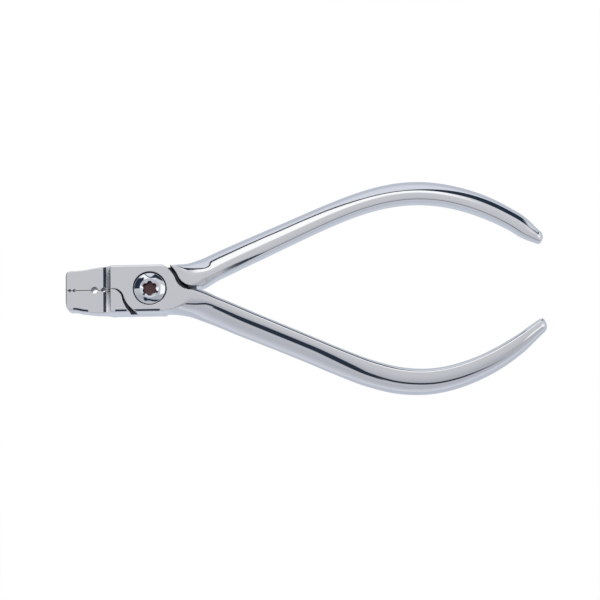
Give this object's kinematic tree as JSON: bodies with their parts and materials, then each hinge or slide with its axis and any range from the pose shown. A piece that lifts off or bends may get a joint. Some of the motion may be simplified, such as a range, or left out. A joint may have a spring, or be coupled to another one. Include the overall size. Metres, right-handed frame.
{
  "type": "crimping pliers",
  "caption": "Small lap-joint crimping pliers of polished steel: broad flat jaws with crimp notches and crimp holes on the closing line, curved bare handles, lobed pivot screw.",
  "frame": {"origin": "on the pivot axis, in the flat back face of the joint", "axes": "+Z along the pivot axis from the back face to the screw head, +X from the pivot to the handles, +Y to the upper jaw's side"},
  "size_m": [0.1297, 0.0584, 0.0092],
  "materials": {
    "lever_steel": "mirror-polished stainless steel, ground flat on the joint faces",
    "screw_steel": "polished turned stainless steel"
  },
  "bodies": {
    "front_half": {"front_lever": "lever_steel"},
    "back_half": {"back_lever": "lever_steel", "pivot_screw": "screw_steel"}
  },
  "joints": [
    {"name": "pivot", "type": "hinge", "parent": "front_half", "child": "back_half", "pos_m": [0, 0, 0.0045], "axis": [0, 0, 1], "range_deg": [0, 25]}
  ]
}
